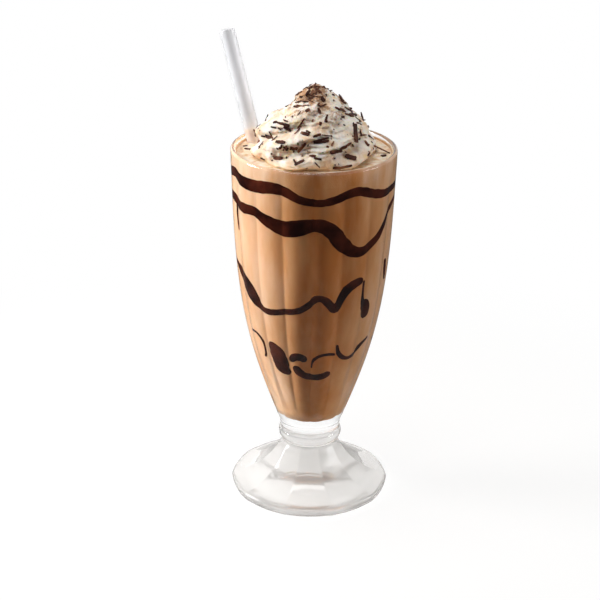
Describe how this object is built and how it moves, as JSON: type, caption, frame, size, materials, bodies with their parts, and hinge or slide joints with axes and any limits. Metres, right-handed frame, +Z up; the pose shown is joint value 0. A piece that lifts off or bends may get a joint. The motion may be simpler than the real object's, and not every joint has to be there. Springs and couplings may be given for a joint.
{
  "type": "coffee milkshake",
  "caption": "Tall milkshake in a clear fluted soda glass with a flared foot, topped with froth and a piped cream swirl, with a clear straw leaning on the rim.",
  "frame": {"origin": "middle of the foot, on the flat rim that the glass stands on", "axes": "+Z up along the glass, -Y towards the side that is seen, +X to its right; the straw leans to -X and +Y"},
  "size_m": [0.0932, 0.0864, 0.2517],
  "materials": {
    "glass": "clear pressed glass, fire polished",
    "milkshake": "smooth opaque coffee and milk drink",
    "froth": "fine bubbles, pale tan",
    "cream": "soft whipped cream, warm white",
    "straw_glass": "clear glass tube",
    "syrup": "glossy chocolate syrup on the inside of the glass",
    "chocolate": "matt broken dark chocolate shavings"
  },
  "bodies": {
    "root": {"glass": "glass", "milkshake": "milkshake", "froth": "froth", "whipped_cream": "cream", "straw": "straw_glass"}
  },
  "joints": []
}
